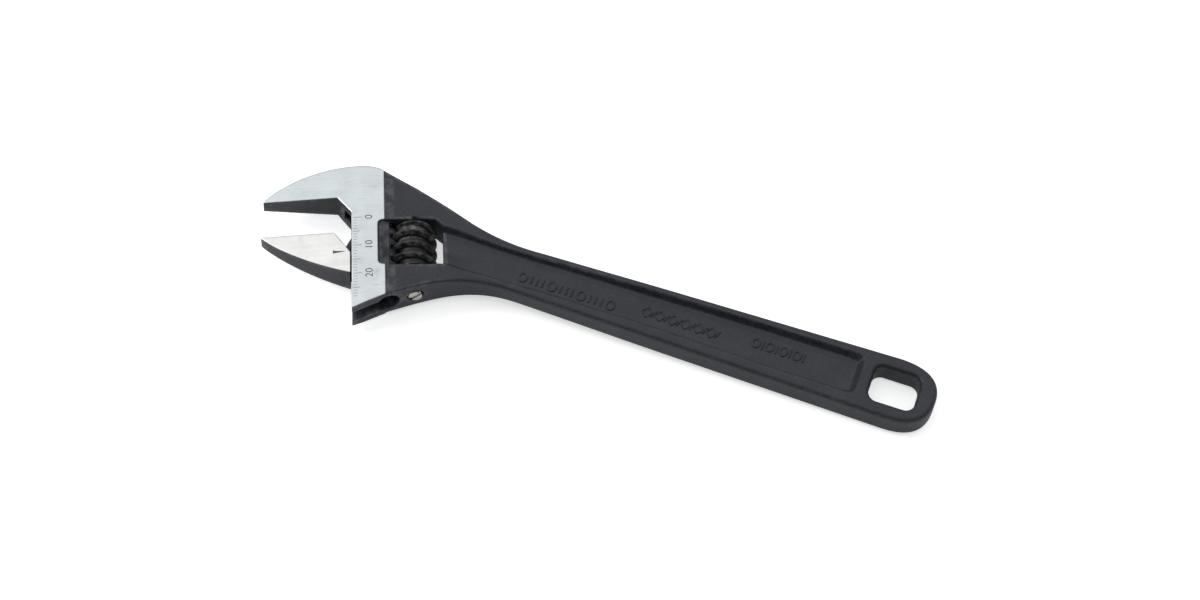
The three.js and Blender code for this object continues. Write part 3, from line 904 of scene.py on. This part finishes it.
def bright_metal(name, color, roughness):
    material, tree, shader = new_material(name, Metallic=1.0)
    cloud = noise_node(tree, stretched(tree, (1, 1, 1)), 700, 3.0)
    tree.links.new(mix_node(tree, cloud, [c * 0.82 for c in color], color), shader.inputs["Base Color"])
    rough = range_node(tree, cloud, 0.3, 0.7, roughness * 0.8, roughness * 1.25)
    tree.links.new(rough, shader.inputs["Roughness"])
    bump(tree, shader, noise_node(tree, stretched(tree, (1, 1, 1)), 2400, 2.0), 0.004)
    return material


def engraved_ink():
    material, tree, shader = new_material("engraved_marks", Metallic=0.2)
    cloud = noise_node(tree, stretched(tree, (1, 1, 1)), 1500, 3.0)
    color = mix_node(tree, cloud, (0.05, 0.05, 0.055), (0.16, 0.16, 0.17))
    tree.links.new(color, shader.inputs["Base Color"])
    tree.links.new(range_node(tree, cloud, 0.3, 0.7, 0.5, 0.7), shader.inputs["Roughness"])
    return material


# ---- camera, floor and light --------------------------------------------------------------------


def add_camera():
    target = Vector((1.2, 7.2, 6.9)) * MM
    distance = 731.4 * MM
    azimuth, elevation, roll = math.radians(12.60), math.radians(57.04), math.radians(7.11)
    level_share = math.cos(elevation)
    back = Vector(
        (math.sin(azimuth) * level_share, -math.cos(azimuth) * level_share, math.sin(elevation))
    )
    level = Vector((0, 0, 1)).cross(back).normalized()
    right = math.cos(roll) * level + math.sin(roll) * back.cross(level)
    turn = Matrix((right, back.cross(right), back)).transposed().to_4x4()
    data = bpy.data.cameras.new("camera")
    data.lens = 73.49
    data.sensor_width = 36
    data.clip_start = 0.01
    camera = bpy.data.objects.new("camera", data)
    camera.matrix_world = Matrix.Translation(target + distance * back) @ turn
    bpy.context.scene.collection.objects.link(camera)
    bpy.context.scene.camera = camera


def add_floor():
    """A pale sweep, tipped a little so that the worm's rim and the handle's end both rest on it."""
    worm_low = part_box("adjusting_worm")[0]
    forging_low, forging_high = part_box("handle_and_fixed_jaw")
    handle_underside = HEAD_ORIGIN[2] - HANDLE_HALF_THICKNESS * MM
    worm_x = turn_joint["pos_m"][0]
    tip = math.atan2(handle_underside - worm_low.z, forging_high.x - 1 * MM - worm_x)
    size = 3.0
    corners = [(-size, -size, 0), (size, -size, 0), (size, size, 0), (-size, size, 0)]
    mesh = bpy.data.meshes.new("floor")
    mesh.from_pydata(corners, [], [(0, 1, 2, 3)])
    floor = bpy.data.objects.new("floor", mesh)
    bpy.context.scene.collection.objects.link(floor)
    contact = Matrix.Translation((worm_x, 0, worm_low.z - 0.1 * MM))
    floor.matrix_world = contact @ Matrix.Rotation(-tip, 4, "Y")
    material, tree, shader = new_material("pale_floor", Roughness=0.85, Specular_IOR_Level=0.2)
    shader.inputs["Base Color"].default_value = (0.93, 0.93, 0.93, 1)
    shader.inputs["Emission Color"].default_value = (1, 1, 1, 1)
    # a glow that keeps the floor white to the eye, and lights the undersides only a little
    seen = tree.nodes.new("ShaderNodeLightPath").outputs["Is Camera Ray"]
    glow = math_node(tree, "MULTIPLY", seen, 0.4)
    tree.links.new(math_node(tree, "ADD", glow, 0.16), shader.inputs["Emission Strength"])
    mesh.materials.append(material)


def add_area_light(name, spot, power, size):
    data = bpy.data.lights.new(name, "AREA")
    data.energy = power
    data.shape = "DISK"
    data.size = size
    light = bpy.data.objects.new(name, data)
    aim = (-Vector(spot)).to_track_quat("-Z", "Y").to_matrix().to_4x4()
    light.matrix_world = Matrix.Translation(spot) @ aim
    bpy.context.scene.collection.objects.link(light)


def add_light():
    world = bpy.data.worlds.new("studio")
    world.use_nodes = True
    tree = world.node_tree
    background = tree.nodes["Background"]
    background.inputs["Color"].default_value = (0.97, 0.985, 1.0, 1)
    # a soft sky, brighter overhead than around
    coordinates = tree.nodes.new("ShaderNodeTexCoord")
    facing = tree.nodes.new("ShaderNodeVectorMath")
    facing.operation = "DOT_PRODUCT"
    facing.inputs[1].default_value = (-0.1, 0.27, 0.96)
    tree.links.new(coordinates.outputs["Generated"], facing.inputs[0])
    strength = range_node(tree, facing.outputs["Value"], 0.25, 0.92, 0.15, 1.0)
    tree.links.new(strength, background.inputs["Strength"])
    bpy.context.scene.world = world
    add_area_light("key", (-1.15, -0.1, 0.75), 5, 0.5)
    bpy.context.scene.view_settings.view_transform = "Standard"


# ---- the pieces ---------------------------------------------------------------------------------


def settle(piece, body, slot, material, *nodes):
    """Gives a piece its material and its body, and hides the CAD nodes it stands for; the slot is not used.
    """
    piece.data.materials.clear()
    piece.data.materials.append(material)
    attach(piece, body)
    if nodes:
        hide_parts(*nodes)


GROUND_MASK = ground_mask_group()
BLACK_COAT = black_coat_group()
GROUND_STEEL = ground_steel_group()

PHOSPHATE = (0.0185, 0.021, 0.0285)
# lighter colour for sharp edges: partly wear, partly painted highlight
PHOSPHATE_WEAR_AND_HIGHLIGHT = (0.12, 0.125, 0.14)
forging_finish = two_tone_steel("black_forging", PHOSPHATE, PHOSPHATE_WEAR_AND_HIGHLIGHT, (0.71, 0.75, 0.757), 0.2,
                                Height=HEAD_HALF_THICKNESS, Slope=TAPER_SLOPE, Taper_start=TAPER_START_X,
                                Rear_edge=GROUND_EDGE_X + 0.1)
jaw_finish = two_tone_steel("black_and_bare_jaw", PHOSPHATE, PHOSPHATE_WEAR_AND_HIGHLIGHT, (0.91, 0.9, 0.865), 0.12,
                            Height=JAW_ROOT_HALF_THICKNESS, Slope=JAW_SLOPE, Taper_start=0.0, Rear_edge=2.0)
# the worm's thread crests are lightened at full strength: painted highlight along the crests, partly wear
worm_finish = black_steel("black_oxide", (0.0075, 0.007, 0.008), (0.17, 0.165, 0.165), 1.0, 1.3, 0.62, 0.88)
marks_finish = black_steel("black_forging_marks", PHOSPHATE, PHOSPHATE_WEAR_AND_HIGHLIGHT, 0.3)
nickel = bright_metal("nickel_plate", (0.62, 0.6, 0.56), 0.22)
spring_wire = bright_metal("drawn_wire", (0.5, 0.5, 0.52), 0.35)
ink = engraved_ink()

add_camera()

# the thumb relief's floor gets painted shade through the hollows' darkening
forging = skinned_piece("forging", forging_field, forging_lattice(), thumb_relief_painted_shade)
settle(forging, "handle", "forging", forging_finish, "handle_and_fixed_jaw")
jaw = skinned_piece("sliding_jaw", jaw_field, jaw_lattice())
settle(jaw, "jaw", "ground_jaw", jaw_finish, "movable_jaw")
worm = skinned_piece("knurled_worm", worm_field, worm_lattice())
settle(worm, "worm", "worm_black", worm_finish, "adjusting_worm")
pin = skinned_piece("slotted_pin", pin_field, pin_lattice())
settle(pin, "handle", "pin_nickel", nickel, "worm_pin")
spring = stroke_piece("coil_spring", spring_strokes(), WIRE_RADIUS)
settle(spring, "handle", "spring_steel", spring_wire, "worm_spring")

ticks = engraving("opening_scale", scale_ticks(), head_top)
settle(ticks, "handle", "forging", ink)
for text, millimetre in (("0", 0), ("10", 10), ("20", 20)):
    settle(scale_number(text, SCALE_ZERO_Y - millimetre), "handle", "forging", ink)

pointer = engraving("scale_pointer", pointer_wedge(), jaw_top)
settle(pointer, "jaw", "ground_jaw", ink)
marks = stroke_piece("raised_marks", raised_marks(), 0.3)
settle(marks, "handle", "forging", marks_finish)

add_floor()
add_light()

bpy.context.view_layer.update()
